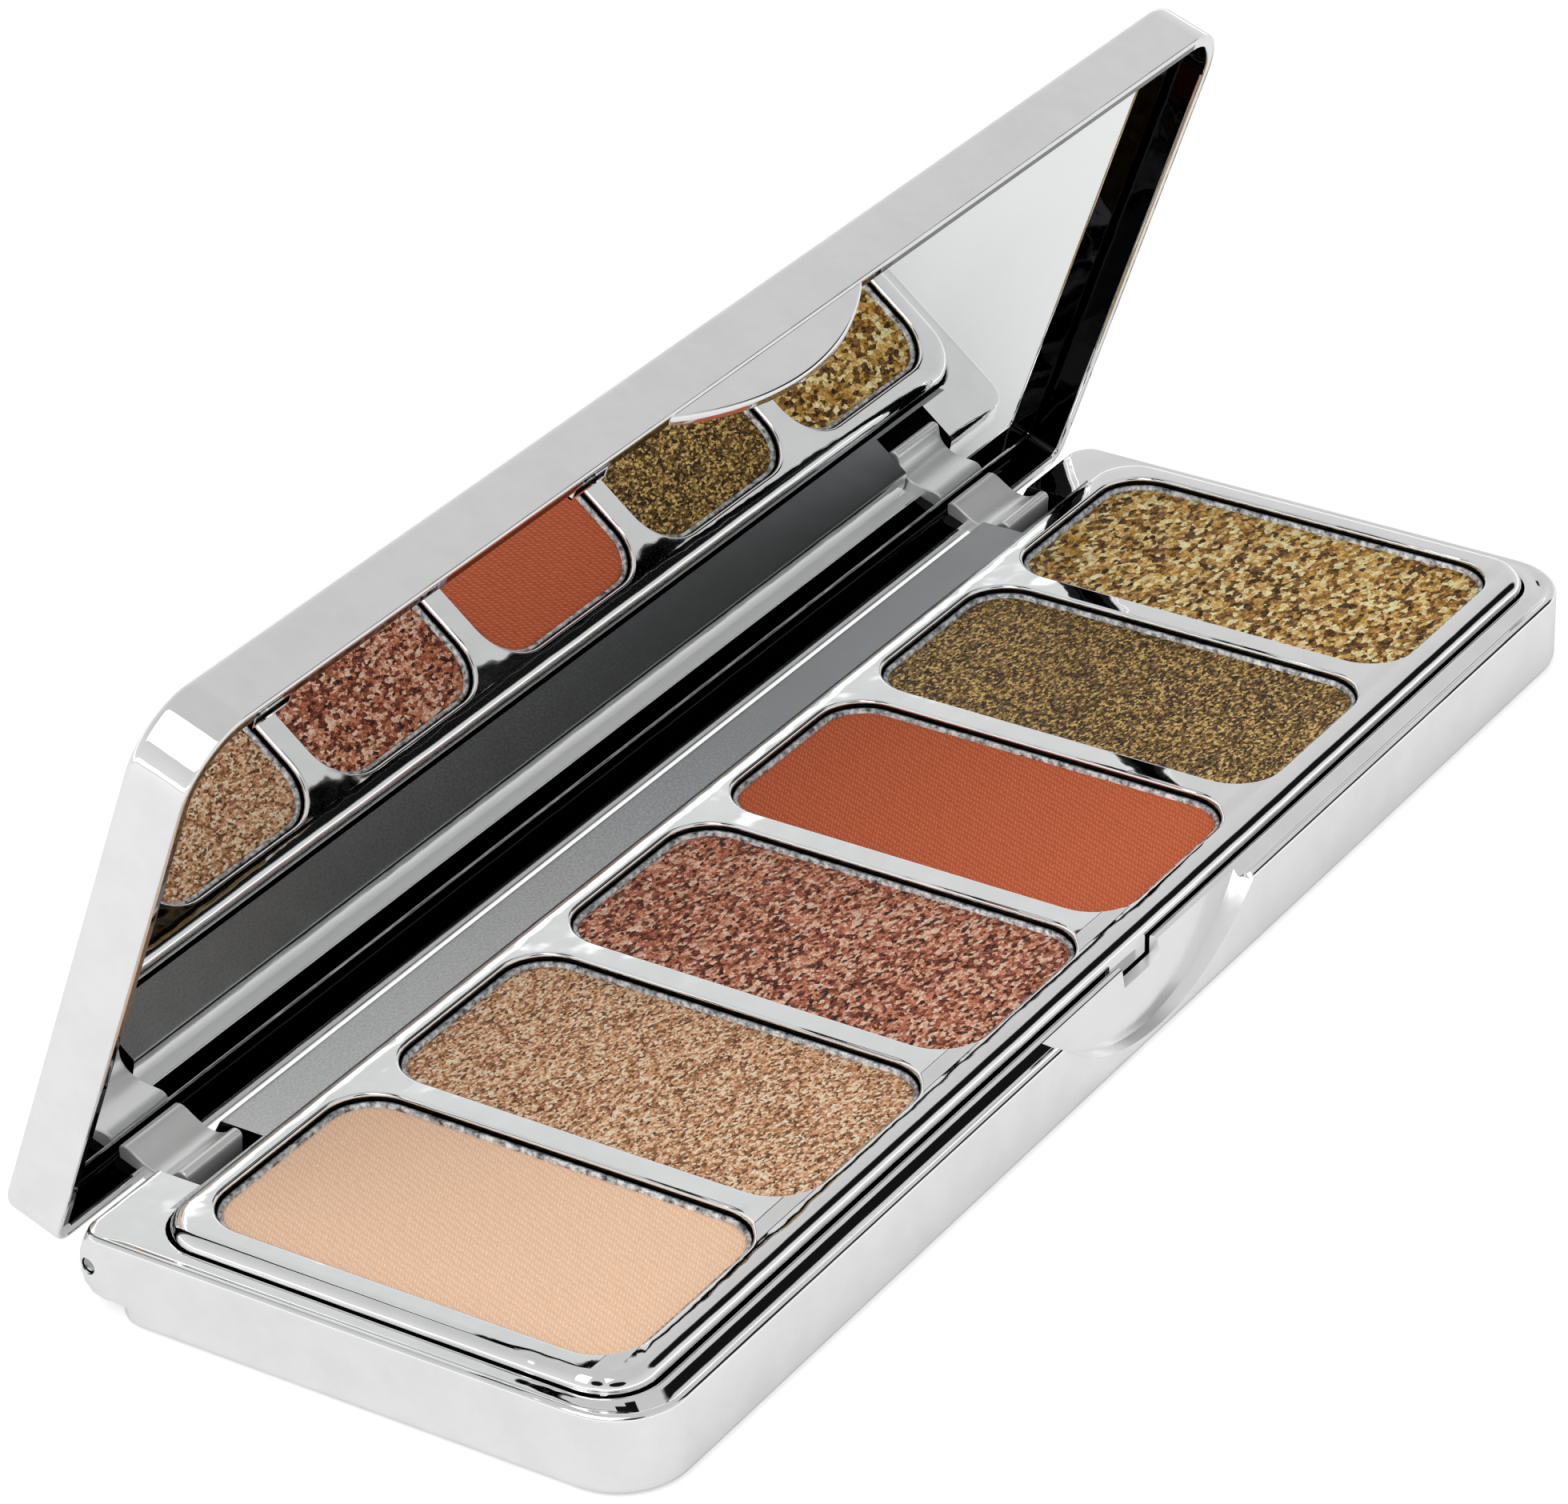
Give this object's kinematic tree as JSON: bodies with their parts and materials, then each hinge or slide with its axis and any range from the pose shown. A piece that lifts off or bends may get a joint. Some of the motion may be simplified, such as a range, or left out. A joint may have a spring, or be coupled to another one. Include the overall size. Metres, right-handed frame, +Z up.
{
  "type": "eyeshadow palette",
  "caption": "Slim rectangular makeup palette: a chrome-plated case with a row of powder pans in a tray and a hinged mirrored lid with a thumb tab.",
  "frame": {"origin": "middle of the flat underside of the base", "axes": "+X along the palette's length, +Y towards the hinge, +Z up"},
  "size_m": [0.1512, 0.058, 0.0544],
  "materials": {
    "chrome_plated_plastic": "mirror",
    "aluminium_pan": "satin",
    "steel_pin": "satin",
    "mirror_glass": "gloss",
    "adhesive": "matte",
    "powder_peach": "matte",
    "powder_champagne": "satin",
    "powder_rose_copper": "satin",
    "powder_burnt_orange": "matte",
    "powder_olive_bronze": "satin",
    "powder_antique_gold": "satin"
  },
  "bodies": {
    "base": {"base_shell": "chrome_plated_plastic", "pan_tray": "chrome_plated_plastic", "glue_pad_1": "adhesive", "pan_1": "aluminium_pan", "powder_1": "powder_peach", "glue_pad_2": "adhesive", "pan_2": "aluminium_pan", "powder_2": "powder_champagne", "glue_pad_3": "adhesive", "pan_3": "aluminium_pan", "powder_3": "powder_rose_copper", "glue_pad_4": "adhesive", "pan_4": "aluminium_pan", "powder_4": "powder_burnt_orange", "glue_pad_5": "adhesive", "pan_5": "aluminium_pan", "powder_5": "powder_olive_bronze", "glue_pad_6": "adhesive", "pan_6": "aluminium_pan", "powder_6": "powder_antique_gold", "hinge_pin_left": "steel_pin", "hinge_pin_right": "steel_pin"},
    "lid": {"lid_shell": "chrome_plated_plastic", "mirror_adhesive": "adhesive", "mirror": "mirror_glass"}
  },
  "joints": [
    {"name": "lid_hinge", "type": "hinge", "parent": "base", "child": "lid", "pos_m": [0, 0.0247, 0.0043], "axis": [-1, 0, 0], "range_deg": [-70.4, 39.6]}
  ]
}
